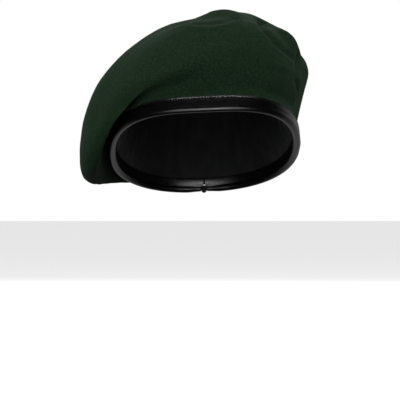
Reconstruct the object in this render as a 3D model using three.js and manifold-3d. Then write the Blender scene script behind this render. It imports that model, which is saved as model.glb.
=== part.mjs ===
// A military wool beret in its worn shape: a fulled wool crown pulled down over the wearer's right,
// a folded leather binding that carries a drawstring, a loose two-panel lining, a badge stiffener
// and two ventilation eyelets. Millimetres, +Z up. The front faces -Y and the wearer's left is +X.
// The origin is the centre of the head opening, in the plane of the binding's lower edge.
import * as THREE from 'three';
import { mergeVertices } from 'three/addons/utils/BufferGeometryUtils.js';
import Module from 'manifold-3d';

// Head opening, to the outer face of the crown's edge.
const OPENING_HALF_WIDTH = 78.8;
const OPENING_HALF_LENGTH = 95;
const OPENING_SQUARENESS = [2.35, 3.4]; // at the nape and at the brow; 2 is an ellipse
const BROW_TAPER = 0.155; // the share of its width that it loses towards the brow
const TILT_BACK = 0.325; // the opening's fall towards the nape, height over length
const TILT_SIDE = 0.0437; // its rise towards the wearer's left, height over width

// Crown.
const CROWN_TOP = 118; // the flat disc's centre over the origin
const CROWN_CENTRE_X = 7.5;
const CROWN_CENTRE_Y = 8;
const CROWN_SHIFT = 3.5; // of the whole crown over the opening, towards the wearer's left
const CROWN_SQUARENESS = 2.35; // the oval that the crown's sections stand on
// The levels between which the crown goes over from the opening's place and shape to its own.
const CROWN_FREE = { left: [1, 3.5], right: [3, 6] };
const FELT = 2.2;

// Leather binding, with the drawstring's channel along its lower edge.
const LEATHER = 1;
const BINDING_HEIGHT = 13;
const CORD_RADIUS = 1.9;
const CORD_CLEARANCE = 0.5;
const KNOT_RADIUS = 3.6;
const CREASE = 0.7; // leather left where a leg meets the roll
const BINDING_GAP = 5.2; // between the two ends at the nape
const FOLD_WEB = 0.8; // from the channel to the crown's edge

// Lining.
const SATIN = 0.5;
const LINING_DROP = 18; // from the crown's top to the lining's
const LINING_SLACK = 6.6; // how far it draws in from the crown's wall above the binding
const SLACK_RAMP = 0.1; // within this share of the way up
const SEAM_LEVEL = 0.48; // share of the way from the binding to the lining's top
const SEAM_LAP = 0.05;

// Stiffener behind the badge's place, an arc of the crown's wall at the wearer's left front.
const BOARD = 1;
const BOARD_CLEARANCE = 1.5; // to the felt, which bends more sharply than the board
const BOARD_AZIMUTHS = [30, 75];
const BOARD_LEVELS = [2, 4.7];

// Badge seat: the felt lies flat over the board, and blends into the curved wall around it.
const BADGE_AZIMUTHS = [37.5, 60];
const BADGE_LEVELS = [2.5, 4];
const BADGE_BLEND = [9, 0.6]; // degrees, levels

// Eyelets.
const EYELET_BORE = 2.1;
const EYELET_WALL = 0.5;
const EYELET_FLANGE = 4.1; // radius
const EYELET_AZIMUTHS = [212, 228];
const EYELET_LEVEL = 2.8;
const METAL = 0.5; // sheet thickness of flange and washer

const THREAD_RADIUS = 0.35;
const LABEL_SIZE = [32, 18];
const CLEARANCE = 0.3; // between neighbouring pieces
const STATIONS = 48; // around the opening

// The crown's sections, one for each azimuth in degrees from the front towards the wearer's left.
// Each point is [reach beyond the opening's edge, rise over the binding's top], drawn for a crown
// that is SECTION_TOP high.
const SECTION_TOP = 118;
const SECTIONS = [
  { azimuth: 0, points: [[1, 6], [3, 17], [4, 28], [2, 39], [-5, 50], [-20, 59], [-41, 65], [-67, 71]] },
  { azimuth: 45, points: [[-2, 7], [0, 18], [1, 30], [0, 42], [-6, 55], [-19, 66], [-39, 74], [-63, 81]] },
  { azimuth: 90, points: [[-2, 13], [-1, 26], [2, 39], [5, 52], [-1, 67], [-6, 81], [-26, 95], [-50, 103]] },
  { azimuth: 135, points: [[-1, 10], [2, 22], [5, 35], [4, 50], [-2, 67], [-15, 87], [-37, 105], [-62, 118]] },
  { azimuth: 180, points: [[4, 4], [11, 3], [18, 9], [20, 25], [15, 45], [0, 69], [-25, 96], [-58, 121]] },
  { azimuth: 225, points: [[0, 4], [10, -4], [21, -12], [27, 7], [23, 36], [7, 66], [-20, 93], [-54, 115]] },
  { azimuth: 270, points: [[4, 2], [8, -13], [14, -31], [28, -25], [29, 6], [17, 46], [-11, 78], [-43, 99]] },
  { azimuth: 295, points: [[3, 2], [8, -11], [14, -31], [26, -21], [25, 10], [13, 42], [-14, 69], [-47, 88]] },
  { azimuth: 320, points: [[0, 3], [7, 2], [13, -3], [16, 12], [10, 32], [-6, 50], [-29, 65], [-58, 77]] },
  { azimuth: 342, points: [[2, 5], [6, 12], [9, 21], [7, 34], [0, 48], [-16, 58], [-39, 65], [-66, 71]] },
];
const APEX_LEVEL = 10; // level 1 is the binding's top, 2 to 9 the sections' points, 10 the centre

// Puckers and folds: each raises the felt along a line, or sinks it where its height is negative.
const FOLDS = [
  { from: [53.5, -40, 102], to: [59.5, 50, 108], width: 8, height: -4 },
  { from: [73.5, -30, 84], to: [87.5, 40, 80], width: 7, height: -4 },
  { from: [-20.5, -40, 108], to: [29.5, -50, 102], width: 9, height: -2.5 },
  { from: [3.5, 30, 108], to: [27.5, 14, 116], width: 28, height: 2 },
  { from: [69.5, -52, 92], to: [79.5, -34, 40], width: 7, height: -2.5 },
];

const wasm = await Module();
wasm.setup();

const radians = THREE.MathUtils.degToRad;
const lerp = THREE.MathUtils.lerp;
const range = (count) => Array.from({ length: count }, (_, i) => i);

// ---- surfaces ----

function ovalRadius(phi, squareness, taper) {
  const width = OPENING_HALF_WIDTH * (1 - taper * Math.max(Math.cos(phi), 0) ** 2);
  const across = Math.abs(Math.sin(phi)) / width;
  const along = Math.abs(Math.cos(phi)) / OPENING_HALF_LENGTH;
  return (across ** squareness + along ** squareness) ** (-1 / squareness);
}
const rimRadius = (phi) =>
  ovalRadius(phi, lerp(...OPENING_SQUARENESS, THREE.MathUtils.smoothstep(Math.cos(phi), -0.1, 0.5)), BROW_TAPER);

// A point at radius r and azimuth phi, at a rise over the opening's sloping plane at an edge there.
function cylindrical(phi, r, rise, edge = rimRadius(phi)) {
  const base = TILT_BACK * edge * Math.cos(phi) + TILT_SIDE * edge * Math.sin(phi);
  return new THREE.Vector3(r * Math.sin(phi), -r * Math.cos(phi), base + rise);
}

// A point beside the opening's edge: out from the crown's outer face, up from the lower edge.
function besideRim(phi, out, rise) {
  const step = 0.01;
  const ahead = cylindrical(phi + step, rimRadius(phi + step), 0);
  const behind = cylindrical(phi - step, rimRadius(phi - step), 0);
  const along = ahead.sub(behind).setZ(0).normalize();
  const point = cylindrical(phi, rimRadius(phi), rise);
  return point.add(new THREE.Vector3(along.y, -along.x, 0).multiplyScalar(out));
}

function spline(p0, p1, p2, p3, t) {
  const mix = (a, b, c, d) =>
    0.5 * (2 * b + (c - a) * t + (2 * a - 5 * b + 4 * c - d) * t * t + (3 * b - a - 3 * c + d) * t ** 3);
  return p1.map((_, k) => mix(p0[k], p1[k], p2[k], p3[k]));
}

// A section's reach and rise at a level between the binding's top and the last drawn point.
function sectionAt(section, level) {
  const points = [[0, -10], [0, 0], ...section.points];
  const last = points.length - 1;
  const i = Math.min(Math.floor(level), last - 1);
  const beyond = points[last].map((p, k) => 2 * p - points[last - 1][k]);
  return spline(points[i - 1], points[i], points[i + 1], points[i + 2] ?? beyond, level - i);
}

// Reach and rise at any azimuth, by a cubic that passes through the sections.
function between(phi, level) {
  const degrees = THREE.MathUtils.euclideanModulo(THREE.MathUtils.radToDeg(phi), 360);
  const count = SECTIONS.length;
  const turn = (k) => SECTIONS[(k + count) % count].azimuth + 360 * Math.floor(k / count);
  let k = 0;
  while (turn(k + 1) <= degrees) k += 1;
  const [a, b, c, d] = [k - 1, k, k + 1, k + 2].map(turn);
  const [pa, pb, pc, pd] = [k - 1, k, k + 1, k + 2].map((m) => sectionAt(SECTIONS[(m + count) % count], level));
  const t = (degrees - b) / (c - b);
  return pb.map((_, axis) => {
    const before = (pb[axis] - pa[axis]) / (b - a);
    const here = (pc[axis] - pb[axis]) / (c - b);
    const after = (pd[axis] - pc[axis]) / (d - c);
    const start = (here * (b - a) + before * (c - b)) * ((c - b) / (c - a));
    const end = (after * (c - b) + here * (d - c)) * ((c - b) / (d - b));
    return (
      (2 * t ** 3 - 3 * t * t + 1) * pb[axis] + (t ** 3 - 2 * t * t + t) * start +
      (3 * t * t - 2 * t ** 3) * pc[axis] + (t ** 3 - t * t) * end
    );
  });
}

const crownApex = () => new THREE.Vector3(CROWN_CENTRE_X, CROWN_CENTRE_Y, CROWN_TOP);
const feltFoot = 2 * CORD_RADIUS + 2 * CORD_CLEARANCE + LEATHER + FOLD_WEB;

// The crown's outer face before its folds.
function smoothCrown(phi, level) {
  if (level <= 1) return besideRim(phi, 0, lerp(feltFoot, BINDING_HEIGHT, level));
  const drawn = Math.min(level, APEX_LEVEL - 1);
  const [reach, rise] = between(phi, drawn);
  const [start, end] = CROWN_FREE.left.map((l, i) => lerp(l, CROWN_FREE.right[i], (1 - Math.sin(phi)) / 2));
  const free = THREE.MathUtils.smoothstep(drawn, start, end);
  const edge = lerp(rimRadius(phi), ovalRadius(phi, CROWN_SQUARENESS, 0), free);
  const point = cylindrical(phi, edge + reach, BINDING_HEIGHT + (rise * CROWN_TOP) / SECTION_TOP, edge);
  point.x += CROWN_SHIFT * free;
  return point.lerp(crownApex(), level - drawn);
}

function normalOf(surface, phi, level, top) {
  const step = 0.02;
  const high = Math.min(level + step, top - step);
  const around = surface(phi + step, high).sub(surface(phi - step, high));
  const upwards = surface(phi, high).sub(surface(phi, Math.max(level - step, 0)));
  return around.cross(upwards).normalize();
}

function foldHeight(point) {
  const closest = new THREE.Vector3();
  return FOLDS.reduce((sum, fold) => {
    const line = new THREE.Line3(new THREE.Vector3(...fold.from), new THREE.Vector3(...fold.to));
    const distance = line.closestPointToPoint(point, true, closest).distanceTo(point);
    return sum + fold.height * Math.exp(-((distance / fold.width) ** 2));
  }, 0);
}

function foldedCrown(phi, level) {
  const point = smoothCrown(phi, level);
  const height = foldHeight(point);
  if (level <= 1 || Math.abs(height) < 0.01) return point;
  return point.addScaledVector(normalOf(smoothCrown, phi, level, APEX_LEVEL), height);
}

// 1 between two limits and 0 from a blend's width outside them.
function plateau(value, [low, high], blend) {
  const outside = Math.max(low - value, value - high, 0);
  return 1 - THREE.MathUtils.smoothstep(outside, 0, blend);
}

const middle = ([low, high]) => (low + high) / 2;
const badgePhi = radians(middle(BADGE_AZIMUTHS));
const badgePlane = new THREE.Plane().setFromNormalAndCoplanarPoint(
  normalOf(foldedCrown, badgePhi, middle(BADGE_LEVELS), APEX_LEVEL),
  foldedCrown(badgePhi, middle(BADGE_LEVELS)));

// The crown's outer face.
function crown(phi, level) {
  const point = foldedCrown(phi, level);
  const degrees = THREE.MathUtils.euclideanModulo(THREE.MathUtils.radToDeg(phi) + 180, 360) - 180;
  const flatness =
    plateau(degrees, BADGE_AZIMUTHS, BADGE_BLEND[0]) * plateau(level, BADGE_LEVELS, BADGE_BLEND[1]);
  return point.addScaledVector(badgePlane.normal, -flatness * badgePlane.distanceToPoint(point));
}

// A surface moved inwards by a depth.
function inside(surface, phi, level, depth, top) {
  if (level >= top) return surface(phi, top).setZ(surface(phi, top).z - depth);
  return surface(phi, level).addScaledVector(normalOf(surface, phi, level, top), -depth);
}
const crownInside = (phi, level, depth) =>
  level <= 1
    ? besideRim(phi, -depth, lerp(feltFoot, BINDING_HEIGHT, level))
    : inside(crown, phi, level, depth, APEX_LEVEL);

// The lining's outer face: a short wall behind the binding, then an elliptical dome. Level 0 is its
// foot, 1 the binding's top and 2 its highest point.
const LINING_APEX = 2;
const liningTop = CROWN_TOP - LINING_DROP;
function lining(phi, level) {
  const foot = feltFoot + 0.2;
  if (level <= 1) return besideRim(phi, -FELT - CLEARANCE, lerp(foot, BINDING_HEIGHT, level));
  const slack = LINING_SLACK * Math.min((level - 1) / SLACK_RAMP, 1);
  const start = besideRim(phi, -FELT - CLEARANCE - slack, BINDING_HEIGHT);
  const apex = new THREE.Vector3(CROWN_CENTRE_X, CROWN_CENTRE_Y, liningTop);
  const angle = ((level - 1) * Math.PI) / 2;
  const point = start.clone().lerp(apex, 1 - Math.cos(angle));
  return point.setZ(lerp(start.z, apex.z, Math.sin(angle)));
}
const liningInside = (phi, level, depth) =>
  level <= 1
    ? besideRim(phi, -FELT - CLEARANCE - depth, lerp(feltFoot + 0.2, BINDING_HEIGHT, level))
    : inside(lining, phi, level, depth, LINING_APEX);

// ---- solids ----

function solidGeometry(vertices, triangles) {
  const geometry = new THREE.BufferGeometry();
  geometry.setAttribute('position', new THREE.Float32BufferAttribute(vertices.flatMap((v) => v.toArray()), 3));
  geometry.setIndex(triangles);
  geometry.computeVertexNormals();
  return geometry;
}

const quad = (a, b, c, d) => [a, b, c, a, c, d];

// A sheet between two faces, each a function of azimuth and level. It runs right round when it has
// no side edges, and its last level may be one point, the apex.
function sheet(outer, inner, azimuths, levels, { round = true, apex = false } = {}) {
  const across = azimuths.length;
  const rows = apex ? levels.slice(0, -1) : levels;
  const faces = [outer, inner].map((face) => {
    const points = rows.flatMap((level) => azimuths.map((phi) => face(phi, level)));
    return apex ? [...points, face(0, levels.at(-1))] : points;
  });
  const size = faces[0].length;
  const triangles = [];
  const next = (i) => (i + 1) % across;
  for (const i of range(round ? across : across - 1)) {
    for (const j of range(rows.length - 1)) {
      const [a, b] = [j * across + i, j * across + next(i)];
      triangles.push(...quad(a, b, b + across, a + across));
      triangles.push(...quad(size + b, size + a, size + a + across, size + b + across));
    }
    triangles.push(...quad(next(i), i, size + i, size + next(i)));
    const top = (rows.length - 1) * across;
    if (apex) {
      triangles.push(top + i, top + next(i), size - 1);
      triangles.push(size + top + next(i), size + top + i, 2 * size - 1);
    } else {
      triangles.push(...quad(top + i, top + next(i), size + top + next(i), size + top + i));
    }
  }
  if (!round) {
    for (const j of range(rows.length - 1)) {
      const [a, b] = [j * across, j * across + across - 1];
      triangles.push(...quad(a, a + across, size + a + across, size + a));
      triangles.push(...quad(b + across, b, size + b, size + b + across));
    }
  }
  return solidGeometry(faces.flat(), triangles);
}

// A profile of [out, rise] points carried along the opening's edge, from one azimuth to the next.
function alongRim(profile, azimuths, round) {
  const count = profile.length;
  const vertices = azimuths.flatMap((phi) => profile.map(([out, rise]) => besideRim(phi, out, rise)));
  const triangles = [];
  for (const i of range(round ? azimuths.length : azimuths.length - 1)) {
    const ahead = ((i + 1) % azimuths.length) * count;
    for (const j of range(count)) {
      const k = (j + 1) % count;
      triangles.push(...quad(i * count + k, i * count + j, ahead + j, ahead + k));
    }
  }
  if (!round) {
    const outline = profile.map(([out, rise]) => new THREE.Vector2(out, rise));
    const last = (azimuths.length - 1) * count;
    for (const [a, b, c] of THREE.ShapeUtils.triangulateShape(outline, [])) {
      triangles.push(a, b, c, last + a, last + c, last + b);
    }
  }
  return solidGeometry(vertices, triangles);
}

const arc = (out, rise, radius, from, to, count) =>
  range(count).map((i) => {
    const angle = radians(lerp(from, to, i / (count - 1)));
    return [out + radius * Math.cos(angle), rise + radius * Math.sin(angle)];
  });

// A ring of small round section, as a loop of azimuths at a place beside the rim.
const roundSection = (out, rise, radius, sides) =>
  arc(out, rise, radius, 0, 360 - 360 / sides, sides);

function toManifold(geometry) {
  const bare = geometry.clone().deleteAttribute('normal').deleteAttribute('uv');
  const merged = mergeVertices(bare, 1e-3);
  return new wasm.Manifold(new wasm.Mesh({
    numProp: 3,
    vertProperties: merged.attributes.position.array,
    triVerts: new Uint32Array(merged.index.array),
  }));
}

function fromManifold(solid) {
  const { vertProperties, triVerts } = solid.getMesh();
  const geometry = new THREE.BufferGeometry();
  geometry.setAttribute('position', new THREE.BufferAttribute(vertProperties, 3));
  geometry.setIndex(new THREE.BufferAttribute(triVerts, 1));
  geometry.computeVertexNormals();
  return geometry;
}

// ---- pieces ----

const materials = {
  felt: new THREE.MeshStandardMaterial({ color: 0x16301f, roughness: 0.95, metalness: 0 }),
  leather: new THREE.MeshStandardMaterial({ color: 0x141416, roughness: 0.42, metalness: 0 }),
  satin: new THREE.MeshStandardMaterial({ color: 0x0f1112, roughness: 0.5, metalness: 0 }),
  thread: new THREE.MeshStandardMaterial({ color: 0x101112, roughness: 0.8, metalness: 0 }),
  cord: new THREE.MeshStandardMaterial({ color: 0x121314, roughness: 0.9, metalness: 0 }),
  board: new THREE.MeshStandardMaterial({ color: 0x2a2a28, roughness: 0.85, metalness: 0 }),
  metal: new THREE.MeshStandardMaterial({ color: 0x1a1c1b, roughness: 0.45, metalness: 0.6 }),
  label: new THREE.MeshStandardMaterial({ color: 0xd9d6cc, roughness: 0.8, metalness: 0 }),
};

const beret = new THREE.Group();
function add(name, geometry, material) {
  const mesh = new THREE.Mesh(geometry, material);
  mesh.name = name;
  beret.add(mesh);
  return mesh;
}

const allRound = range(STATIONS).map((i) => (i * 2 * Math.PI) / STATIONS);
// Levels of the crown's rows, closer together where the drape turns under.
const crownLevels = [0, 1, 1.5, 2, 2.5, 3, 3.35, 3.7, 4, 4.35, 4.7, 5, 5.5, 6, 6.5, 7, 7.5, 8, 8.5, 9, 9.5, 10];

const eyeletPlaces = EYELET_AZIMUTHS.map((azimuth) => {
  const phi = radians(azimuth);
  return {
    centre: crown(phi, EYELET_LEVEL),
    turn: new THREE.Quaternion().setFromUnitVectors(
      new THREE.Vector3(0, 1, 0), normalOf(crown, phi, EYELET_LEVEL, APEX_LEVEL)),
  };
});

// Crown, with a hole for each eyelet's barrel.
const barrelRadius = EYELET_BORE + EYELET_WALL;
const plainCrown = sheet(crown, (phi, level) => crownInside(phi, level, FELT), allRound, crownLevels, { apex: true });
const crownSolid = eyeletPlaces.reduce((solid, { centre, turn }) => {
  const drill = new THREE.CylinderGeometry(barrelRadius + CLEARANCE, barrelRadius + CLEARANCE, 6 * FELT, 12);
  drill.applyQuaternion(turn).translate(...centre.toArray());
  return solid.subtract(toManifold(drill));
}, toManifold(plainCrown));
add('felt_crown', fromManifold(crownSolid), materials.felt);

// Binding: outer leg, roll around the drawstring, inner leg. The inner leg clamps felt and lining.
const legFace = CLEARANCE; // inner face of the outer leg, out from the crown
const innerLegFace = -FELT - SATIN - 3 * CLEARANCE;
const channelOut = (legFace + innerLegFace) / 2;
const channelRadius = CORD_RADIUS + CORD_CLEARANCE;
const rollRadius = channelRadius + LEATHER;
const neck = rollRadius + channelRadius + FOLD_WEB / 2;
const bindingProfile = [
  [legFace + LEATHER, BINDING_HEIGHT],
  [legFace, BINDING_HEIGHT],
  [legFace, neck],
  ...arc(channelOut, rollRadius, channelRadius, 50, -230, 8),
  [innerLegFace, neck],
  [innerLegFace, BINDING_HEIGHT],
  [innerLegFace - LEATHER, BINDING_HEIGHT],
  [innerLegFace - LEATHER, neck + 0.9],
  [innerLegFace - CREASE, neck - 0.2],
  ...arc(channelOut, rollRadius, rollRadius, -214, 34, 9),
  [legFace + CREASE, neck - 0.2],
  [legFace + LEATHER, neck + 0.9],
];
const halfGap = BINDING_GAP / 2 / OPENING_HALF_LENGTH;
const bindingAzimuths = [
  Math.PI + halfGap,
  ...allRound.map((phi) => phi + Math.PI).slice(1),
  3 * Math.PI - halfGap,
];
add('edge_binding', alongRim(bindingProfile, bindingAzimuths, false), materials.leather);

// Stitching thread, laid on the binding's outer leg just below its top edge.
const stitchOut = legFace + LEATHER + 1.3 * CLEARANCE + THREAD_RADIUS;
add('binding_thread',
  alongRim(roundSection(stitchOut, BINDING_HEIGHT - 1.2, THREAD_RADIUS, 4), allRound, true), materials.thread);

// Drawstring: a loop in the channel, joined by its knot in the gap between the binding's ends.
const cordLoop = alongRim(roundSection(channelOut, rollRadius, CORD_RADIUS, 6), allRound, true);
const knotOut = channelOut + rollRadius + CLEARANCE + KNOT_RADIUS;
const knot = new THREE.IcosahedronGeometry(KNOT_RADIUS, 1);
knot.translate(...besideRim(Math.PI, knotOut, rollRadius).toArray());
const throat = new THREE.CylinderGeometry(CORD_RADIUS, CORD_RADIUS, knotOut - channelOut, 8); // along +Y
throat.translate(...besideRim(Math.PI, (knotOut + channelOut) / 2, rollRadius).toArray());
add('drawstring', fromManifold([throat, knot].reduce((solid, piece) => solid.add(toManifold(piece)),
  toManifold(cordLoop))), materials.cord);

// Lining: the crown panel laps outside the side panel's top edge, and one seam joins them.
const seam = 1 + SEAM_LEVEL;
const lap = SATIN + 1.5 * CLEARANCE;
const sidePanelLevels = [0, 1, 1 + SLACK_RAMP, 1.5 * SLACK_RAMP + 1 + SEAM_LEVEL / 4, seam - SEAM_LAP, seam];
const crownPanelLevels = [seam - SEAM_LAP, ...[0, 0.25, 0.5, 0.75, 1].map((t) => lerp(seam, LINING_APEX, t))];
add('lining_side_panel',
  sheet((phi, level) => liningInside(phi, level, level > 1 ? lap * Math.min((level - 1) * 4, 1) : 0),
    (phi, level) => liningInside(phi, level, SATIN + (level > 1 ? lap * Math.min((level - 1) * 4, 1) : 0)),
    allRound, sidePanelLevels), materials.satin);
add('lining_crown_panel',
  sheet(lining, (phi, level) => liningInside(phi, level, SATIN), allRound, crownPanelLevels, { apex: true }),
  materials.satin);

// The seam's thread lies on the inside of the side panel, under the lap.
const seamDepth = lap + SATIN + 1.5 * CLEARANCE;
const seamLevel = seam - SEAM_LAP / 2;
add('lining_thread',
  sheet((phi, level) => liningInside(phi, level, seamDepth),
    (phi, level) => liningInside(phi, level, seamDepth + 2 * THREAD_RADIUS),
    allRound, [seamLevel - 0.006, seamLevel + 0.006]), materials.thread);

// Stiffener, between the crown and the lining.
const boardDepth = FELT + BOARD_CLEARANCE;
const within = ([low, high]) => (value) => value > low - 0.01 && value < high + 0.01;
const boardAzimuths = allRound.filter((phi) => within(BOARD_AZIMUTHS)(THREE.MathUtils.radToDeg(phi)));
const boardLevels = crownLevels.filter(within(BOARD_LEVELS));
add('badge_stiffener',
  sheet((phi, level) => crownInside(phi, level, boardDepth),
    (phi, level) => crownInside(phi, level, boardDepth + BOARD), boardAzimuths, boardLevels, { round: false }),
  materials.board);

// Eyelets: a flanged barrel from outside, its end curled over a washer on the inside. The flange
// stands off by the bow of the felt across it.
const standOff = 2.6 * CLEARANCE;
const washerTop = -FELT - standOff;
const curlTop = washerTop - METAL - CLEARANCE;
const eyeletProfile = [
  [EYELET_BORE, curlTop - METAL],
  [barrelRadius + 1, curlTop - METAL],
  [barrelRadius + 1, curlTop],
  [barrelRadius, curlTop],
  [barrelRadius, standOff],
  [EYELET_FLANGE, standOff],
  [EYELET_FLANGE - 0.4, standOff + METAL],
  [EYELET_BORE, standOff + METAL],
  [EYELET_BORE, curlTop - METAL],
].map(([r, y]) => new THREE.Vector2(r, y));
const washerProfile = [
  [barrelRadius + CLEARANCE, washerTop - METAL],
  [EYELET_FLANGE, washerTop - METAL],
  [EYELET_FLANGE, washerTop],
  [barrelRadius + CLEARANCE, washerTop],
  [barrelRadius + CLEARANCE, washerTop - METAL],
].map(([r, y]) => new THREE.Vector2(r, y));
eyeletPlaces.forEach(({ centre, turn }, i) => {
  const side = ['rear', 'front'][i];
  for (const [name, profile] of [[`eyelet_${side}`, eyeletProfile], [`eyelet_washer_${side}`, washerProfile]]) {
    const mesh = add(name, new THREE.LatheGeometry(profile, 16), materials.metal);
    mesh.position.copy(centre);
    mesh.quaternion.copy(turn);
  }
});

// Blank size label on the lining's inner face, at the nape side of the crown panel.
const labelLevel = lerp(seam, LINING_APEX, 0.3);
const labelCentre = liningInside(Math.PI, labelLevel, SATIN);
const labelHalfTurn = LABEL_SIZE[0] / 2 / Math.hypot(labelCentre.x, labelCentre.y);
const labelHalfRise = LABEL_SIZE[1] / 2 / ((liningTop * Math.PI) / 2);
const labelDepth = SATIN + 3 * CLEARANCE;
add('size_label',
  sheet((phi, level) => liningInside(phi, level, labelDepth),
    (phi, level) => liningInside(phi, level, labelDepth + SATIN),
    range(5).map((i) => Math.PI + lerp(-labelHalfTurn, labelHalfTurn, i / 4)),
    range(3).map((i) => labelLevel + lerp(-labelHalfRise, labelHalfRise, i / 2)), { round: false }),
  materials.label);

export default beret;
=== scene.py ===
import math

import bmesh
import bpy
from mathutils import Matrix, Vector, noise


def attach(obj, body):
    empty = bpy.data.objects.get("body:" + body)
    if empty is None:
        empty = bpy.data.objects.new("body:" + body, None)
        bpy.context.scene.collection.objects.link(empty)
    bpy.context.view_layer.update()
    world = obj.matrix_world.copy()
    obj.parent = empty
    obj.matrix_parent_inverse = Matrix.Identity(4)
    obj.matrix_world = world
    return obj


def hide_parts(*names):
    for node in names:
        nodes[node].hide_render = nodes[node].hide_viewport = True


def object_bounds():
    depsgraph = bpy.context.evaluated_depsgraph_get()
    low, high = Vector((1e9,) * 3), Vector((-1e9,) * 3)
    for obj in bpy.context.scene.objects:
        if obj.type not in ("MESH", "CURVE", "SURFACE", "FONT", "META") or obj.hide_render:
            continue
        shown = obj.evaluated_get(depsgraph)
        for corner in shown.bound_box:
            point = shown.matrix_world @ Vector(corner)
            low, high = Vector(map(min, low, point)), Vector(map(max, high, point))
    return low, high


# A military wool beret in its worn shape. Metres, +Z up, the front faces -Y, the wearer's left is +X.
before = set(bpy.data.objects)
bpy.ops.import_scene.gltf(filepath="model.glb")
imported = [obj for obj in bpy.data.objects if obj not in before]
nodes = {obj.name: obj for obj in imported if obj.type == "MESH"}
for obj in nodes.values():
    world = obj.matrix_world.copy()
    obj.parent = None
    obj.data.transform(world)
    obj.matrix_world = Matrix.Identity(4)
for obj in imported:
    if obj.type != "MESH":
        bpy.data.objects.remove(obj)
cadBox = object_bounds()
scene = bpy.context.scene
mm = 0.001

camera = {
    "distance": 1.4,
    "lens": 150,
    "sensor": 36,
    "aim": Vector((-0.0036, 0, -0.0378)),
}
cameraData = bpy.data.cameras.new("camera")
cameraData.lens = camera["lens"]
cameraData.sensor_width = camera["sensor"]
cameraObject = bpy.data.objects.new("camera", cameraData)
cameraObject.location = camera["aim"] + Vector((0, -camera["distance"], 0))
cameraObject.rotation_euler = (math.pi / 2, 0, 0)
scene.collection.objects.link(cameraObject)
scene.camera = cameraObject
print("camera placed")

# Every piece is fitted to the opening.
opening = {
    "halfWidth": 78.8 * mm,
    "halfLength": 95 * mm,
    "squareness": (2.35, 3.4),  # at the nape and at the brow; 2 is an ellipse
    "browTaper": 0.155,  # the share of its width that it loses towards the brow
    "tiltBack": 0.325,
    "tiltSide": 0.0437,
    "bindingTop": 13 * mm,
    # The band leans back with the brow, above its roll, and the felt goes upright again over it.
    "lean": 0.21,
    "leanFrom": 6.2 * mm,
    "leanGone": 34 * mm,
}


def smoothStep(low, high, value):
    t = max(0.0, min(1.0, (value - low) / (high - low)))
    return t * t * (3 - 2 * t)


def rimRadius(angle):
    front = math.cos(angle)
    across = abs(math.sin(angle)) / (opening["halfWidth"] * (1 - opening["browTaper"] * max(front, 0) ** 2))
    along = abs(front) / opening["halfLength"]
    nape, brow = opening["squareness"]
    power = nape + (brow - nape) * smoothStep(-0.1, 0.5, front)
    return (across**power + along**power) ** (-1 / power)


def rimPoint(angle):
    r = rimRadius(angle)
    x, y = r * math.sin(angle), -r * math.cos(angle)
    return Vector((x, y, opening["tiltSide"] * x - opening["tiltBack"] * y))


def outwards(angle):
    along = rimPoint(angle + 0.01) - rimPoint(angle - 0.01)
    return Vector((along.y, -along.x, 0)).normalized()


def lean(angle, rise):
    height = min(rise, opening["bindingTop"]) - opening["leanFrom"]
    upright = smoothStep(opening["bindingTop"], opening["leanGone"], rise)
    front = smoothStep(-0.1, 0.85, math.cos(angle))
    return opening["lean"] * front * max(height, 0) * (1 - upright)


def besideRim(angle, out, rise):
    return rimPoint(angle) + outwards(angle) * (out - lean(angle, rise)) + Vector((0, 0, rise))


# The rim's length up to each of many angles, so that stitches can be spaced evenly.
rimSteps = 720
rimLengths = [0.0]
for i in range(rimSteps):
    a, b = (rimPoint(2 * math.pi * k / rimSteps) for k in (i, i + 1))
    rimLengths.append(rimLengths[-1] + (b - a).length)


def evenAngle(share):
    share = share % 1.0
    low, high = 0, rimSteps
    while high - low > 1:
        half = (low + high) // 2
        low, high = (half, high) if rimLengths[half] <= share * rimLengths[-1] else (low, half)
    inside = (share * rimLengths[-1] - rimLengths[low]) / (rimLengths[high] - rimLengths[low])
    return 2 * math.pi * (low + inside) / rimSteps


def finishMesh(name, bm, material, smooth=True):
    mesh = bpy.data.meshes.new(name)
    bm.to_mesh(mesh)
    bm.free()
    for face in mesh.polygons:
        face.use_smooth = smooth
    piece = bpy.data.objects.new(name, mesh)
    scene.collection.objects.link(piece)
    piece.data.materials.append(material)
    return piece


def stand(piece, node):
    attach(piece, "root")
    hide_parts(*([node] if isinstance(node, str) else node))


def bakeModifiers(piece):
    shaped = piece.evaluated_get(bpy.context.evaluated_depsgraph_get())
    mesh = bpy.data.meshes.new_from_object(shaped)
    piece.modifiers.clear()
    old = piece.data
    piece.data = mesh
    bpy.data.meshes.remove(old)


def nodeCopy(name):
    bm = bmesh.new()
    bm.from_mesh(nodes[name].data)
    bmesh.ops.remove_doubles(bm, verts=bm.verts, dist=0.01 * mm)
    bm.normal_update()
    return bm


# Keeps the one side of a thin shell that the seed face is on, up to its sharp edges.
def keepSide(bm, seed, sharp):
    kept, waiting = {seed}, [seed]
    while waiting:
        face = waiting.pop()
        for edge in face.edges:
            for other in edge.link_faces:
                if other not in kept and face.normal.angle(other.normal) < sharp:
                    kept.add(other)
                    waiting.append(other)
    bmesh.ops.delete(bm, geom=[f for f in bm.faces if f not in kept], context="FACES")
    bmesh.ops.join_triangles(
        bm, faces=bm.faces, angle_face_threshold=math.radians(50), angle_shape_threshold=math.radians(80)
    )
    return bm


def newMaterial(name):
    material = bpy.data.materials.new(name)
    material.use_nodes = True
    tree = material.node_tree
    shader = tree.nodes["Principled BSDF"]
    coordinates = tree.nodes.new("ShaderNodeTexCoord")
    return material, tree, shader, coordinates.outputs["Object"]


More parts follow.
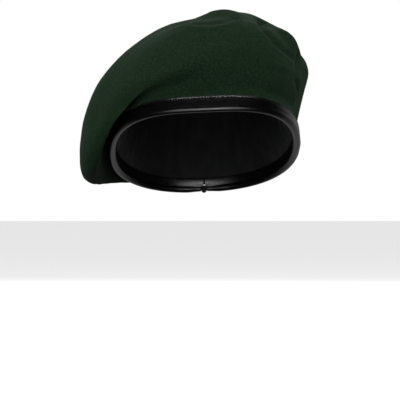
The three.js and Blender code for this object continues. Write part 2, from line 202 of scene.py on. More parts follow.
def addNoise(tree, vector, scale, detail=4, roughness=0.6, stretch=None):
    if stretch:
        mapping = tree.nodes.new("ShaderNodeMapping")
        mapping.inputs["Scale"].default_value = stretch
        tree.links.new(vector, mapping.inputs["Vector"])
        vector = mapping.outputs["Vector"]
    node = tree.nodes.new("ShaderNodeTexNoise")
    node.inputs["Scale"].default_value = scale
    node.inputs["Detail"].default_value = detail
    node.inputs["Roughness"].default_value = roughness
    tree.links.new(vector, node.inputs["Vector"])
    return node.outputs["Fac"]


def addRamp(tree, value, stops):
    node = tree.nodes.new("ShaderNodeValToRGB")
    ramp = node.color_ramp
    while len(ramp.elements) < len(stops):
        ramp.elements.new(0.5)
    for element, (place, colour) in zip(ramp.elements, stops):
        element.position = place
        element.color = (*colour, 1) if len(colour) == 3 else colour
    tree.links.new(value, node.inputs["Fac"])
    return node.outputs["Color"]


def addMix(tree, share, a, b, kind="MIX"):
    node = tree.nodes.new("ShaderNodeMix")
    node.data_type = "RGBA"
    node.blend_type = kind
    for value, socket in ((share, node.inputs[0]), (a, node.inputs[6]), (b, node.inputs[7])):
        if isinstance(value, bpy.types.NodeSocket):
            tree.links.new(value, socket)
        elif isinstance(value, (int, float)):
            socket.default_value = value
        else:
            socket.default_value = (*value, 1)
    return node.outputs[2]


def addBump(tree, shader, heights):
    normal = None
    for height, strength, distance in heights:
        node = tree.nodes.new("ShaderNodeBump")
        node.inputs["Strength"].default_value = strength
        node.inputs["Distance"].default_value = distance
        tree.links.new(height, node.inputs["Height"])
        if normal:
            tree.links.new(normal, node.inputs["Normal"])
        normal = node.outputs["Normal"]
    tree.links.new(normal, shader.inputs["Normal"])


def grey(value):
    return (value, value, value)


def feltMaterial(name, look):
    material, tree, shader, place = newMaterial(name)
    cloudy = addNoise(tree, place, 45, 3, 0.5)
    mottle = addNoise(tree, place, 760, 5, 0.72)
    fibre = addNoise(tree, place, 1900, 3, 0.6, stretch=(1, 0.45, 1))
    base = addRamp(tree, mottle, [(0.38, look["deep"]), (0.5, look["middle"]), (0.62, look["light"])])
    base = addMix(tree, addRamp(tree, cloudy, [(0.3, grey(0)), (0.7, grey(0.5))]), base, look["warm"])
    base = addMix(tree, addRamp(tree, fibre, [(0.58, grey(0)), (0.74, grey(0.55))]), base, look["fibre"])
    tree.links.new(base, shader.inputs["Base Color"])
    shader.inputs["Roughness"].default_value = 0.95
    shader.inputs["Specular IOR Level"].default_value = 0.12
    shader.inputs["Sheen Weight"].default_value = look["sheen"]
    shader.inputs["Sheen Roughness"].default_value = 0.45
    shader.inputs["Sheen Tint"].default_value = (*look["sheenTint"], 1)
    addBump(tree, shader, [(mottle, 0.5, 0.5 * mm), (fibre, 0.6, 0.25 * mm)])
    return material


def leatherMaterial(name, look):
    material, tree, shader, place = newMaterial(name)
    patches = addNoise(tree, place, 60, 3, 0.5)
    pores = tree.nodes.new("ShaderNodeTexVoronoi")
    pores.feature = "DISTANCE_TO_EDGE"
    pores.inputs["Scale"].default_value = 1100
    tree.links.new(place, pores.inputs["Vector"])
    wrinkles = addNoise(tree, place, 420, 4, 0.6)
    base = addRamp(tree, patches, [(0.3, look["deep"]), (0.7, look["light"])])
    tree.links.new(base, shader.inputs["Base Color"])
    worn = addNoise(tree, place, 240, 4, 0.6)
    gloss = addRamp(tree, worn, [(0.3, grey(look["gloss"])), (0.7, grey(look["dull"]))])
    tree.links.new(gloss, shader.inputs["Roughness"])
    shader.inputs["Specular IOR Level"].default_value = 0.5
    edges = addRamp(tree, pores.outputs["Distance"], [(0.0, grey(0)), (0.25, grey(1))])
    addBump(tree, shader, [(edges, 0.10, 0.1 * mm), (wrinkles, 0.08, 0.25 * mm)])
    return material


def weaveMaterial(name, look):
    material, tree, shader, place = newMaterial(name)
    slubs = addNoise(tree, place, 90, 4, 0.6)
    warp = addNoise(tree, place, look["pitch"], 2, 0.5, stretch=(1, 1, 0.12))
    weft = addNoise(tree, place, look["pitch"], 2, 0.5, stretch=(0.12, 0.12, 1))
    base = addRamp(tree, slubs, [(0.3, look["deep"]), (0.7, look["light"])])
    tree.links.new(base, shader.inputs["Base Color"])
    shader.inputs["Roughness"].default_value = look["roughness"]
    shader.inputs["Sheen Weight"].default_value = look["sheen"]
    shader.inputs["Sheen Roughness"].default_value = 0.3
    addBump(tree, shader, [(warp, look["relief"], 0.12 * mm), (weft, look["relief"], 0.12 * mm)])
    return material


def metalMaterial(name, look):
    material, tree, shader, place = newMaterial(name)
    rubbed = addRamp(tree, addNoise(tree, place, 900, 4, 0.7), [(0.6, grey(0)), (0.72, grey(1))])
    base = addMix(tree, rubbed, look["enamel"], look["brass"])
    tree.links.new(base, shader.inputs["Base Color"])
    tree.links.new(rubbed, shader.inputs["Metallic"])
    shader.inputs["Roughness"].default_value = look["roughness"]
    addBump(tree, shader, [(addNoise(tree, place, 1600, 3, 0.6), 0.08, 0.05 * mm)])
    return material


felt = feltMaterial("greenFelt", {
    "deep": (0.0056, 0.0155, 0.0074),
    "middle": (0.0102, 0.0258, 0.0130),
    "light": (0.0172, 0.0395, 0.0215),
    "warm": (0.0150, 0.0262, 0.0122),
    "fibre": (0.0400, 0.0640, 0.0460),
    "sheen": 0.03,
    "sheenTint": (0.62, 0.75, 0.64),
})
leather = leatherMaterial("blackLeather", {
    "deep": (0.0008, 0.0008, 0.0009), "light": (0.0018, 0.0018, 0.0020), "gloss": 0.27, "dull": 0.35,
})
satin = weaveMaterial("blackSatin", {
    "deep": (0.0080, 0.0083, 0.0092), "light": (0.0140, 0.0145, 0.0158),
    "pitch": 2600, "roughness": 0.40, "sheen": 0.15, "relief": 0.25,
})
blackThread = weaveMaterial("blackThread", {
    "deep": (0.006, 0.006, 0.006), "light": (0.014, 0.014, 0.014),
    "pitch": 5200, "roughness": 0.55, "sheen": 0.2, "relief": 0.4,
})
blackCord = weaveMaterial("blackCord", {
    "deep": (0.008, 0.008, 0.009), "light": (0.020, 0.020, 0.021),
    "pitch": 2400, "roughness": 0.8, "sheen": 0.3, "relief": 0.8,
})
fibreBoard = weaveMaterial("fibreBoard", {
    "deep": (0.020, 0.019, 0.017), "light": (0.040, 0.038, 0.033),
    "pitch": 1500, "roughness": 0.85, "sheen": 0.0, "relief": 0.6,
})
labelTape = weaveMaterial("labelTape", {
    "deep": (0.46, 0.45, 0.41), "light": (0.58, 0.57, 0.53),
    "pitch": 3200, "roughness": 0.7, "sheen": 0.1, "relief": 0.6,
})
enamelledBrass = metalMaterial("enamelledBrass", {
    "enamel": (0.010, 0.011, 0.010), "brass": (0.36, 0.25, 0.10), "roughness": 0.34,
})
print("materials made")

crown = {
    "thickness": 2.2 * mm,
    "disc": 0.33,  # across the felt's one disc, opened flat
    "area": 0.085,  # of that felt, in square metres
    "middle": Vector((0, 0, 50)) * mm,
    "lipReach": 9 * mm,
    "lipSmoothing": 26,
    "lipThickness": 0.25,  # the share of the thickness left along the lip
    "simFrames": 18,  # of cloth, whose moves the cap then cuts short
    "simCap": 0.7 * mm,
    "lumps": ((0.9 * mm, 42 * mm), (0.30 * mm, 13 * mm), (0.10 * mm, 5 * mm)),
    "fineNear": 2.4,  # widths from a fold within which the faces are cut finer
    # Lines in millimetres. Each lifts the felt, or sinks it, by the heights spaced along it.
    "folds": [
        # the drape's lip over the binding, on the wearer's right
        {"line": ((-2.5, -98, 59), (-18.5, -97, 55), (-32.5, -94, 50),
                  (-44.5, -90, 46), (-55.5, -86, 39), (-64, -81, 33)),
         "width": 4.8, "height": (-0.3, -3.0, -2.6, -0.4)},
        {"line": ((-6.5, -99, 67), (-28.5, -97, 62), (-50.5, -90, 54), (-68.5, -79, 44), (-78.5, -68, 32)),
         "width": 9.0, "height": (0.2, 2.2)},
        # the front edge of the top, with the hollow behind it
        {"line": ((-18.5, -70, 101), (-9.5, -80, 99), (0.5, -84, 97),
                  (11.5, -83, 98), (20.5, -77, 101), (27.5, -64, 106)),
         "width": 3.6, "height": (0.7, 1.0)},
        {"line": ((-16.5, -60, 105), (-6.5, -70, 103), (5.5, -74, 102), (16.5, -70, 104), (25.5, -56, 108)),
         "width": 5.0, "height": (-1.6, -1.8)},
        {"line": ((-10.5, -30, 112), (6.5, -33, 113), (23.5, -28, 113)),
         "width": 15.0, "height": (0.8, 3.6, 2.4)},
        # the lobe behind the wearer's left front
        {"line": ((47.5, -20, 111), (45.5, -48, 106), (47.5, -66, 99),
                  (55.5, -70, 89), (63.5, -64, 82), (71.5, -52, 78)),
         "width": 3.6, "height": (-4.6, -3.6, -3.0)},
        {"line": ((57.5, -30, 106), (63.5, -40, 99), (69.5, -40, 92), (74.5, -34, 86)),
         "width": 8.0, "height": (3.4, 4.4, 5.0, 3.4)},
        # the bulge on the wearer's left
        {"line": ((76.5, -38, 80), (76.5, -48, 70), (75.5, -52, 60), (77.5, -43, 50), (79.5, -32, 42)),
         "width": 3.6, "height": (-3.2, -1.6)},
        {"line": ((83.5, -20, 77), (86.5, -10, 66), (85.5, -8, 52)), "width": 10.0, "height": (2.0, 0.6)},
        # the drape's soft waves on the wearer's right
        {"line": ((-50.5, 8, 96), (-76.5, 12, 74), (-96.5, 16, 44), (-102.5, 18, 20)),
         "width": 7.0, "height": (-0.5, -3.4)},
        {"line": ((-44.5, 40, 88), (-70.5, 44, 66), (-92.5, 44, 36), (-96.5, 42, 10)),
         "width": 6.0, "height": (-0.4, -3.4)},
        # soft waves round the back
        {"line": ((-56.5, 60, 66), (-82.5, 50, 40), (-100.5, 30, 14)), "width": 10.0, "height": (1.4, 1.0)},
        {"line": ((-16.5, 84, 56), (-40.5, 92, 28), (-56.5, 88, 4)), "width": 9.0, "height": (-2.2, -1.4)},
        {"line": ((33.5, 84, 40), (27.5, 98, 18), (19.5, 104, -2)), "width": 8.0, "height": (-1.8, -1.4)},
        {"line": ((63.5, 62, 40), (57.5, 76, 20), (47.5, 84, 0)), "width": 8.0, "height": (1.6, 1.2)},
        {"line": ((79.5, 30, 60), (81.5, 36, 34), (77.5, 40, 10)), "width": 7.0, "height": (-2.4, -1.0)},
        {"line": ((33.5, 40, 110), (53.5, 56, 84), (61.5, 62, 60)), "width": 8.0, "height": (-1.0, -2.4)},
        {"line": ((-26.5, 20, 106), (-46.5, 44, 84), (-54.5, 62, 62)), "width": 11.0, "height": (-0.6, -1.8)},
    ],
}


# How far a point is from a fold's line, and how far along the line it lies, from 0 to 1.
def besideFold(point, line):
    best = (1e9, 0.0)
    for i, (start, end) in enumerate(zip(line, line[1:])):
        along = end - start
        share = max(0.0, min(1.0, (point - start).dot(along) / along.length_squared))
        away = (point - (start + along * share)).length
        if away < best[0]:
            best = (away, (i + share) / (len(line) - 1))
    return best


# The value at a share of the way along a row of evenly spaced values.
def valueAt(values, share):
    place = share * (len(values) - 1)
    i = min(int(place), len(values) - 2)
    return values[i] + (values[i + 1] - values[i]) * (place - i)


def wallHeight(point):
    angle = math.atan2(point.x, -point.y)
    return point.z - rimPoint(angle).z


def leanBack(vertex):
    angle = math.atan2(vertex.co.x, -vertex.co.y)
    vertex.co -= outwards(angle) * lean(angle, wallHeight(vertex.co))


# True on the short upright wall that the binding clasps.
def inBinding(point):
    angle = math.atan2(point.x, -point.y)
    away = abs(math.hypot(point.x, point.y) - rimRadius(angle))
    return away < 1.5 * mm and wallHeight(point) < opening["bindingTop"] + 0.5 * mm


# How free the felt is to move, from 0 at the binding to 1 well above it or out in the drape.
def freedom(point):
    above = wallHeight(point) - opening["bindingTop"]
    beyond = math.hypot(point.x, point.y) - rimRadius(math.atan2(point.x, -point.y))
    return max(smoothStep(0, 9 * mm, above), smoothStep(3 * mm, 13 * mm, beyond))


bm = nodeCopy("felt_crown")
keepSide(bm, max(bm.faces, key=lambda f: f.calc_center_median().z), math.radians(62))
crownPiece = finishMesh("crown", bm, felt)
subdivide = crownPiece.modifiers.new("smooth", "SUBSURF")
subdivide.levels = subdivide.render_levels = 2
bakeModifiers(crownPiece)
print("crown copied and smoothed,", len(crownPiece.data.polygons), "faces")

mesh = crownPiece.data
held = crownPiece.vertex_groups.new(name="held")
for vertex in mesh.vertices:
    held.add([vertex.index], 1.0 if inBinding(vertex.co) else 0.12, "REPLACE")
before = [v.co.copy() for v in mesh.vertices]
cloth = crownPiece.modifiers.new("settle", "CLOTH")
settings = cloth.settings
settings.quality = 6
settings.mass = 0.25
settings.tension_stiffness = settings.compression_stiffness = 20
settings.shear_stiffness = 8
settings.bending_stiffness = 1.5
settings.shrink_min = -0.03
settings.vertex_group_mass = "held"
settings.pin_stiffness = 0.6
cloth.collision_settings.use_collision = False
scene.frame_start, scene.frame_end = 1, crown["simFrames"]
for step in range(1, crown["simFrames"] + 1):
    scene.frame_set(step)
bakeModifiers(crownPiece)
mostMoved = 0.0
for vertex, start in zip(crownPiece.data.vertices, before):
    shift = vertex.co - start
    mostMoved = max(mostMoved, shift.length)
    if shift.length > crown["simCap"]:
        shift *= crown["simCap"] / shift.length
    vertex.co = start + shift * smoothStep(0.3, 1, freedom(start))
scene.frame_set(1)
print(f"crown settled, {mostMoved * 1000:.1f} mm at most before the cap")

folds = []
for fold in crown["folds"]:
    line = [Vector(p) * mm for p in fold["line"]]
    middle = (line[0] + line[-1]) / 2
    width = fold["width"] * mm
    reach = max((p - middle).length for p in line) + 3 * width
    folds.append((line, width, [h * mm for h in fold["height"]], middle, reach))

bm = bmesh.new()
bm.from_mesh(crownPiece.data)
fine = set()
for face in bm.faces:
    centre = face.calc_center_median()
    for line, width, heights, middle, reach in folds:
        if width < 6 * mm and (centre - middle).length < reach:
            if besideFold(centre, line)[0] < crown["fineNear"] * width:
                fine.update(face.edges)
                break
cut = bmesh.ops.subdivide_edges(bm, edges=list(fine), cuts=1, use_grid_fill=True)
newVerts = [v for v in cut["geom_inner"] if isinstance(v, bmesh.types.BMVert)]
bmesh.ops.smooth_vert(bm, verts=newVerts, factor=0.5, use_axis_x=True, use_axis_y=True, use_axis_z=True)
bm.normal_update()
moves = []
for vertex in bm.verts:
    point = vertex.co
    if inBinding(point):
        continue
    height = sum(size * noise.noise(point / across) for size, across in crown["lumps"])
    # The drape's underside, which faces the middle, keeps clear of the folds above it.
    facing = smoothStep(0.1, 0.6, vertex.normal.dot((point - crown["middle"]).normalized()))
    for line, width, heights, middle, reach in folds:
        if (point - middle).length < reach:
            away, share = besideFold(point, line)
            height += facing * valueAt(heights, share) * math.exp(-((away / width) ** 2))
    moves.append((vertex, vertex.normal * height * freedom(point)))
for vertex, move in moves:
    vertex.co += move
# The lip is smoothed where the felt turns under it.
lip = folds[0][0]
nearLip = [v for v in bm.verts if not inBinding(v.co) and besideFold(v.co, lip)[0] < crown["lipReach"]]
for i in range(crown["lipSmoothing"]):
    bmesh.ops.smooth_vert(bm, verts=nearLip, factor=0.5, use_axis_x=True, use_axis_y=True, use_axis_z=True)
for vertex in bm.verts:
    leanBack(vertex)
bm.to_mesh(crownPiece.data)
bm.free()

# The felt is squeezed thinner along the lip, where it turns sharply under itself.
crownPiece.vertex_groups.clear()
full = crownPiece.vertex_groups.new(name="full")
for vertex in crownPiece.data.vertices:
    away = besideFold(vertex.co, lip)[0]
    thin = crown["lipThickness"]
    full.add([vertex.index], thin + (1 - thin) * smoothStep(7 * mm, 16 * mm, away), "REPLACE")
wall = crownPiece.modifiers.new("wall", "SOLIDIFY")
wall.vertex_group = "full"
wall.thickness = crown["thickness"]
wall.offset = -1
wall.use_even_offset = False
bakeModifiers(crownPiece)
for face in crownPiece.data.polygons:
    face.use_smooth = True
stand(crownPiece, "felt_crown")
print("crown done,", len(crownPiece.data.polygons), "faces")

binding = {
    "stitches": 280,
    "stepsPerStitch": 4,
    "gap": 5.2 * mm,  # between its ends
    "legFace": 0.3 * mm,
    "innerFace": -3.6 * mm,
    "leather": 1.0 * mm,
    "channelRadius": 2.4 * mm,
    "rollRadius": 3.4 * mm,
    "stitchDrop": 1.7 * mm,  # from the top edge to the holes
    "pucker": 0.5 * mm,
    "butt": 0.4 * mm,  # between its ends above the roll
    "cinch": 0.24,  # the share of the roll's radius lost at its ends
}
ringRadius = 0.087  # the rings are spun at this radius, then fitted to the opening
rollOut = (binding["legFace"] + binding["innerFace"]) / 2
rollRise = binding["rollRadius"]
neck = binding["rollRadius"] + binding["channelRadius"] + 0.4 * mm
top = opening["bindingTop"]


def arcPoints(out, rise, radius, start, end, count):
    angles = [math.radians(start + (end - start) * i / (count - 1)) for i in range(count)]
    return [(out + radius * math.cos(a), rise + radius * math.sin(a)) for a in angles]


# A closed outline of (out, rise) spun round, with its ends a gap apart at the nape.
def spinOutline(points, steps, gap=0.0, closed=True):
    bm = bmesh.new()
    verts = [bm.verts.new((ringRadius + out, 0, rise)) for out, rise in points]
    pairs = list(zip(verts, verts[1:] + verts[:1])) if closed else list(zip(verts, verts[1:]))
    edges = [bm.edges.new(pair) for pair in pairs]
    turn = 2 * math.pi - gap / ringRadius
    bmesh.ops.spin(
        bm, geom=verts + edges, cent=(0, 0, 0), axis=(0, 0, 1), dvec=(0, 0, 0),
        angle=turn, steps=steps, use_merge=gap == 0, use_duplicate=False,
    )
    if gap:
        bmesh.ops.holes_fill(bm, edges=[e for e in bm.edges if e.is_boundary], sides=0)
        half = Matrix.Rotation(gap / ringRadius / 2, 3, "Z")
        bmesh.ops.rotate(bm, verts=bm.verts, cent=(0, 0, 0), matrix=half)
    bmesh.ops.rotate(bm, verts=bm.verts, cent=(0, 0, 0), matrix=Matrix.Rotation(math.pi / 2, 3, "Z"))
    bmesh.ops.recalc_face_normals(bm, faces=bm.faces)
    return bm


# Moves a ring that was spun round the origin onto the opening's edge.
def fitToOpening(bm, shape=None):
    for vertex in bm.verts:
        x, y, z = vertex.co
        share = math.atan2(x, -y) / (2 * math.pi)
        out, rise = math.hypot(x, y) - ringRadius, z
        if shape:
            share, out, rise = shape(share, out, rise)
        vertex.co = besideRim(evenAngle(share), out, rise)


def puckered(share, out, rise):
    phase = share * binding["stitches"]
    between = 0.5 - 0.5 * math.cos(2 * math.pi * phase)  # 0 at a stitch, 1 between two
    place = Vector((math.sin(2 * math.pi * share), math.cos(2 * math.pi * share), 0))
    onOuter = smoothStep(0.0, binding["legFace"] + binding["leather"], out)
    onInner = smoothStep(0.0, -0.6 * mm, out - (binding["innerFace"] - 0.4 * mm))
    atHoles = smoothStep(top - 2.9 * mm, top - 1.9 * mm, rise)
    atHoles *= 1 - 0.55 * smoothStep(top - 1.5 * mm, top - 0.5 * mm, rise)
    pull = binding["pucker"] * atHoles * (between - 1)
    out += pull * (onOuter - onInner)
    rise -= 0.3 * mm * (1 - between) * smoothStep(top - 0.8 * mm, top, rise)
    # the leather is a little uneven along its length
    wave = noise.noise(place * 6) * 0.22 * mm + noise.noise(place * 24) * 0.05 * mm
    onRoll = 1 - smoothStep(rollRise + 2 * mm, rollRise + 4 * mm, rise)
    if math.hypot(out - rollOut, rise - rollRise) > binding["channelRadius"] + 0.4 * mm:
        out += (wave * 0.6 if out > rollOut else -wave * 0.6) * (0.4 + 0.6 * onRoll)
    # the roll is drawn in around the cord at its ends, and above it the two ends meet
    turn = (share % 1.0) - 0.5
    halfGap = binding["gap"] / 2 / ringRadius / (2 * math.pi)
    halfButt = binding["butt"] / 2 / ringRadius / (2 * math.pi)
    closing = (halfGap - halfButt) * smoothStep(neck - 0.4 * mm, neck + 1.2 * mm, rise)
    cinch = 1 - binding["cinch"] * (1 - smoothStep(halfGap, 6 * halfGap, abs(turn))) * onRoll
    out = rollOut + (out - rollOut) * cinch
    rise = rollRise + (rise - rollRise) * cinch
    if abs(turn) < 8 * halfGap:
        share -= math.copysign(closing * (1 - smoothStep(halfGap, 8 * halfGap, abs(turn))), turn)
    return share, out, rise


leg, inner, thick = binding["legFace"], binding["innerFace"], binding["leather"]
edgeRound = 0.42 * mm
bindingOutline = [
    (leg + 0.86 * thick, top - 1.30 * mm),
    (leg + 0.62 * thick, top - 0.94 * mm),
    (leg + 0.38 * thick, top - 0.58 * mm),
    (leg + 0.20 * thick, top - 0.30 * mm),
    (leg + 0.08 * thick, top - 0.18 * mm),
    (leg, top - 0.2 * mm),
    (leg, top - 3 * mm),
    (leg, neck),
    *arcPoints(rollOut, rollRise, binding["channelRadius"], 50, -230, 9),
    (inner, neck),
    (inner, top - 3 * mm),
    *arcPoints(inner - thick / 2, top - edgeRound, thick / 2, 0, 180, 7),
    (inner - thick, top - 2.6 * mm),
    (inner - thick, neck + 0.9 * mm),
    (inner - 0.72 * mm, neck - 0.25 * mm),
    *arcPoints(rollOut, rollRise, binding["rollRadius"], -214, 30, 15),
    (leg + 0.80 * mm, neck - 0.45 * mm),
    (leg + thick, neck + 0.9 * mm),
    (leg + thick, top - 3.6 * mm),
    (leg + thick, top - 2.3 * mm),
    (leg + 0.99 * thick, top - 1.80 * mm),
    (leg + 0.95 * thick, top - 1.50 * mm),
]
bm = spinOutline(bindingOutline, binding["stitches"] * binding["stepsPerStitch"], binding["gap"])
fitToOpening(bm, puckered)
bindingPiece = finishMesh("binding", bm, leather)
stand(bindingPiece, "edge_binding")
print("binding done,", len(bindingPiece.data.polygons), "faces")

stitch = {
    "radius": 0.24 * mm,
    "sides": 2,  # bevel resolution of the thread
    "lean": 0.38,  # of a stitch, from its hole to the felt
}


def threadTube(name, runs, radius, sides, material, closed=False):
    curve = bpy.data.curves.new(name, "CURVE")
    curve.dimensions = "3D"
    curve.bevel_depth = radius
    curve.bevel_resolution = sides
    curve.use_fill_caps = True
    for points in runs:
        spline = curve.splines.new("POLY")
        spline.points.add(len(points) - 1)
        for item, point in zip(spline.points, points):
            item.co = (point[0], point[1], point[2], 1)
            item.radius = point[3] if len(point) > 3 else 1
        spline.use_cyclic_u = closed
    rough = bpy.data.objects.new(name + "Curve", curve)
    scene.collection.objects.link(rough)
    bpy.context.view_layer.update()
    mesh = bpy.data.meshes.new_from_object(rough.evaluated_get(bpy.context.evaluated_depsgraph_get()))
    bpy.data.objects.remove(rough)
    bpy.data.curves.remove(curve)
    mesh.name = name
    for face in mesh.polygons:
        face.use_smooth = True
    piece = bpy.data.objects.new(name, mesh)
    scene.collection.objects.link(piece)
    piece.data.materials.clear()
    piece.data.materials.append(material)
    return piece


faceOut = leg + thick
stitchPoints = []
for k in range(binding["stitches"]):
    share = k / binding["stitches"]
    across = stitch["lean"] / binding["stitches"]
    pull = binding["pucker"]
    for along, out, rise in (
        (-0.10, faceOut - pull - 0.40 * mm, top - binding["stitchDrop"] - 0.10 * mm),
        (0.0, faceOut - pull - 0.02 * mm, top - binding["stitchDrop"] + 0.10 * mm),
        (0.5, faceOut - pull - 0.12 * mm, top - 1.05 * mm),
        (0.9, faceOut - pull - 0.36 * mm, top - 0.45 * mm),
        (1.3, 0.34 * mm, top + 0.10 * mm),
        (1.7, -0.05 * mm, top + 0.25 * mm),
    ):
        stitchPoints.append(besideRim(evenAngle(share + (along - 0.5) * across), out, rise))
half = len(stitchPoints) // 2
stitchPiece = threadTube("edgeStitching", [stitchPoints[half + 3:] + stitchPoints[:half - 3]],
                         stitch["radius"], stitch["sides"], blackThread)
stand(stitchPiece, "binding_thread")
print("edge stitching done,", len(stitchPiece.data.polygons), "faces")

drawstring = {
    "radius": 1.9 * mm,  # loose in its channel
    "tight": 1.25 * mm,  # where it is pulled tight
    "knotSize": 2.15 * mm,
    "knotOut": 6.5 * mm,
    # Each end in millimetres from the channel's middle at the nape: across, out, up, thickness.
    "ends": (
        ((6.5, 0, 0, 1.45), (3.6, 0.1, 0, 1.4), (1.9, 0.8, 0.1, 1.3),
         (1.5, 2.6, 0.2, 1.2), (1.2, 5.0, 0.3, 1.0)),
        ((1.0, 7.4, 0.8, 1.0), (3.2, 7.6, 2.2, 1.0), (5.6, 6.6, 3.6, 1.0), (8.2, 5.6, 4.2, 1.0),
         (10.6, 5.0, 3.8, 1.05), (12.2, 4.8, 3.2, 1.15), (12.9, 4.8, 2.9, 0.6)),
    ),
}
bm = spinOutline(arcPoints(rollOut, rollRise, drawstring["radius"], 0, 330, 12), 360)
fitToOpening(bm)
loopPiece = finishMesh("drawstring", bm, blackCord)
nape = besideRim(math.pi, rollOut, rollRise)
size = drawstring["knotSize"]
knotPoints = []
for i in range(96):
    t = 2 * math.pi * i / 96
    knotPoints.append(nape + Vector((
        size * (math.sin(t) + 2 * math.sin(2 * t)) / 2.2,
        drawstring["knotOut"] - size * math.sin(3 * t) * 0.75,
        size * (math.cos(t) - 2 * math.cos(2 * t)) / 2.4,
    )))
knotPiece = threadTube("drawstringKnot", [knotPoints], drawstring["tight"], 4, blackCord, closed=True)
endRuns = []
for side in (-1, 1):
    for run in drawstring["ends"]:
        points = [(side * x, y, z if side > 0 else z * 0.6, r) for x, y, z, r in run]
        endRuns.append([(*(nape + Vector((x, y, z)) * mm), r) for x, y, z, r in points])
endPiece = threadTube("drawstringEnds", endRuns, drawstring["tight"], 4, blackCord)
stand(loopPiece, "drawstring")
for piece in (knotPiece, endPiece):
    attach(piece, "root")
print("drawstring done")

lining = {
    "thickness": 0.4 * mm,
    "gathers": 46,
    "gatherHeight": 0.55 * mm,
    "slack": 1.3 * mm,
    "slackSize": 38 * mm,
    "sideCut": (0.53, 0.085),
    "crownCut": (0.15, 0.14),
    "crownArea": 0.0165,
}


def liningPanel(name, node, seedPick, gather):
    bm = nodeCopy(node)
    keepSide(bm, seedPick(bm), math.radians(60))
    piece = finishMesh(name, bm, satin)
    smoother = piece.modifiers.new("smooth", "SUBSURF")
    smoother.levels = smoother.render_levels = 3
    bakeModifiers(piece)
    mesh = piece.data
    normals = [v.normal.copy() for v in mesh.vertices]
    for vertex, normal in zip(mesh.vertices, normals):
        vertex.co += normal * gather(vertex.co)
        leanBack(vertex)
    shell = piece.modifiers.new("thickness", "SOLIDIFY")
    shell.thickness = lining["thickness"]
    shell.offset = -1
    bakeModifiers(piece)
    for face in piece.data.polygons:
        face.use_smooth = True
    stand(piece, node)
    return piece


def innermost(bm):
    centre = Vector((0, 0, 0.03))

    def farness(face):
        inwards = centre - face.calc_center_median()
        return inwards.length - 0.02 * (face.normal.dot(inwards) > 0)

    return min(bm.faces, key=farness)


# Gathers of uneven width and height, in two overlaid rows.
def gathered(angle, point):
    drift = 5 * noise.noise(Vector((2.2 * math.sin(angle), 2.2 * math.cos(angle), point.z * 9)))
    fine = math.cos(lining["gathers"] * angle + drift)
    broad = math.cos(lining["gathers"] * 0.41 * angle - 1.6 * drift)
    uneven = 0.7 + 0.6 * noise.noise(Vector((5 * math.sin(angle), 5 * math.cos(angle), 1 + point.z * 14)))
    return lining["gatherHeight"] * uneven * (0.6 * fine + 0.5 * broad)


def sideGather(point):
    rise = wallHeight(point)
    free = smoothStep(opening["bindingTop"], opening["bindingTop"] + 10 * mm, rise)
    angle = math.atan2(point.x, -point.y)
    slack = noise.noise(point / lining["slackSize"]) * lining["slack"]
    return free * (gathered(angle, point) * 0.8 + slack * 0.7)


def crownGather(point):
    flatR = math.hypot(point.x - 0.004, point.y - 0.008)
    angle = math.atan2(point.x, -point.y)
    slack = noise.noise(point / lining["slackSize"] + Vector((3, 1, 2))) * lining["slack"]
    ripple = gathered(angle, point) * smoothStep(0.020, 0.055, flatR)
    return ripple * 0.8 + slack * (1 - smoothStep(0.035, 0.055, flatR)) * 0.6


sidePanel = liningPanel("liningSide", "lining_side_panel", innermost, sideGather)
crownPanel = liningPanel("liningCrown", "lining_crown_panel", innermost, crownGather)
print("lining done")

# The pieces that keep their own shape.
for node, material in (
    ("badge_stiffener", fibreBoard),
    ("lining_thread", blackThread),
    ("size_label", labelTape),
):
    nodes[node].data.materials.clear()
    nodes[node].data.materials.append(material)
for node in ("eyelet_rear", "eyelet_front", "eyelet_washer_rear", "eyelet_washer_front"):
    bm = nodeCopy(node)
    sharp = [e for e in bm.edges if e.calc_face_angle(0) > math.radians(25)]
    bmesh.ops.bevel(bm, geom=sharp, offset=0.09 * mm, segments=2, profile=0.5, affect="EDGES", material=-1)
    stand(finishMesh(node + "Rounded", bm, enamelledBrass), node)

studio = {
    "floorDrop": 0.175,  # below the lowest point
    "white": 0.9,
    "glow": 0.7,
    "frontGlow": 0.012,
    "backGlow": 0.34,
}
lowest = cadBox[0][2]
bm = bmesh.new()
bmesh.ops.create_grid(bm, x_segments=1, y_segments=1, size=12)
bmesh.ops.translate(bm, verts=bm.verts, vec=(0, 0, lowest - studio["floorDrop"]))
floorMaterial, _, floorShader, _ = newMaterial("paleFloor")
floorShader.inputs["Base Color"].default_value = (studio["white"],) * 3 + (1,)
floorShader.inputs["Roughness"].default_value = 0.9
floorShader.inputs["Emission Color"].default_value = (1, 1, 1, 1)
floorShader.inputs["Emission Strength"].default_value = studio["glow"]
floorPiece = finishMesh("floor", bm, floorMaterial, smooth=False)
floorPiece.visible_diffuse = floorPiece.visible_glossy = False

# The backdrop is white. It lights the object from behind, and little comes from the camera's side.
world = bpy.data.worlds.new("studio")
world.use_nodes = True
tree = world.node_tree
backdrop = tree.nodes["Background"]
backdrop.inputs["Color"].default_value = (1, 1, 1, 1)
direction = tree.nodes.new("ShaderNodeTexCoord").outputs["Generated"]
split = tree.nodes.new("ShaderNodeSeparateXYZ")
tree.links.new(direction, split.inputs["Vector"])
around = tree.nodes.new("ShaderNodeMapRange")
around.inputs["From Min"].default_value = 0.15
around.inputs["From Max"].default_value = 0.8
around.inputs["To Min"].default_value = studio["frontGlow"]
around.inputs["To Max"].default_value = studio["backGlow"]
tree.links.new(split.outputs["Y"], around.inputs["Value"])
seen = tree.nodes.new("ShaderNodeLightPath").outputs["Is Camera Ray"]
strength = tree.nodes.new("ShaderNodeMix")
tree.links.new(seen, strength.inputs[0])
tree.links.new(around.outputs["Result"], strength.inputs[2])
strength.inputs[3].default_value = 1
tree.links.new(strength.outputs[0], backdrop.inputs["Strength"])
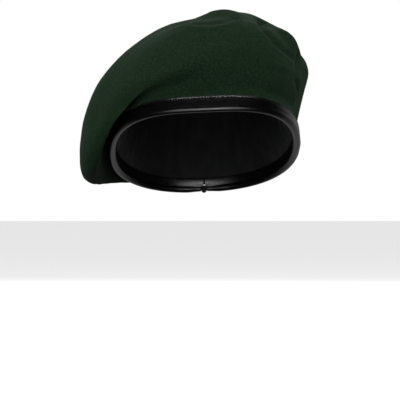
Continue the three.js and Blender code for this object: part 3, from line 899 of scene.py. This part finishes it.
scene.world = world


def softLight(name, place, aim, width, height, watts):
    data = bpy.data.lights.new(name, "AREA")
    data.shape = "RECTANGLE"
    data.size, data.size_y = width, height
    data.energy = watts
    lamp = bpy.data.objects.new(name, data)
    lamp.location = place
    lamp.rotation_mode = "QUATERNION"
    lamp.rotation_quaternion = (Vector(aim) - Vector(place)).to_track_quat("-Z", "Y")
    scene.collection.objects.link(lamp)
    return lamp


# The felt is lit by large soft lamps that the leather doesn't mirror, and the leather by small ones.
for lamp in (
    softLight("topSoft", (0.1, -0.5, 1.5), (0, 0, 0.03), 1.2, 1.0, 9),
    softLight("frontSoft", (0.1, -2.0, 0.5), (0, 0, 0.03), 1.4, 1.0, 18),
    softLight("rightSoft", (1.5, -0.5, 0.4), (0, 0, 0.03), 0.8, 0.8, 5),
    softLight("leftSoft", (-1.5, -0.5, 0.4), (0, 0, 0.03), 0.8, 0.8, 5),
    softLight("lowLeftSoft", (-1.0, -0.9, -0.08), (-0.05, 0, 0), 0.5, 0.2, 3.2),
    softLight("backSoft", (0.1, 1.6, 0.9), (0, 0, 0.05), 1.0, 0.8, 16),
    softLight("rightBackSoft", (1.4, 0.9, 0.4), (0, 0, 0.03), 0.8, 0.8, 8),
    softLight("leftBackSoft", (-1.4, 0.9, 0.4), (0, 0, 0.03), 0.8, 0.8, 8),
):
    lamp.visible_glossy = False
leatherOnly = bpy.data.collections.new("leatherOnly")
for piece in (bindingPiece, stitchPiece):
    leatherOnly.objects.link(piece)
insideOnly = bpy.data.collections.new("insideOnly")
for piece in (sidePanel, crownPanel, nodes["size_label"], nodes["lining_thread"], nodes["badge_stiffener"]):
    insideOnly.objects.link(piece)
insideSoft = softLight("insideSoft", (0, -0.12, -0.19), (0, 0.02, 0.06), 0.20, 0.16, 0.18)
insideSoft.light_linking.receiver_collection = insideOnly
insideSoft.visible_glossy = insideSoft.visible_camera = False
for lamp in (
    softLight("rollStrip", (0.034, -0.36, -0.15), (0.005, -0.09, 0.03), 0.05, 0.22, 0.20),
    softLight("rollWide", (0.02, -0.42, -0.13), (0, -0.09, 0.03), 0.34, 0.20, 0.6),
    softLight("edgeStrip", (0.024, -0.42, 1.0), (0, -0.09, 0.04), 0.10, 0.16, 4.6),
):
    lamp.light_linking.receiver_collection = leatherOnly
    lamp.visible_diffuse = lamp.visible_camera = False
scene.view_settings.view_transform = "Standard"
print("studio lit")
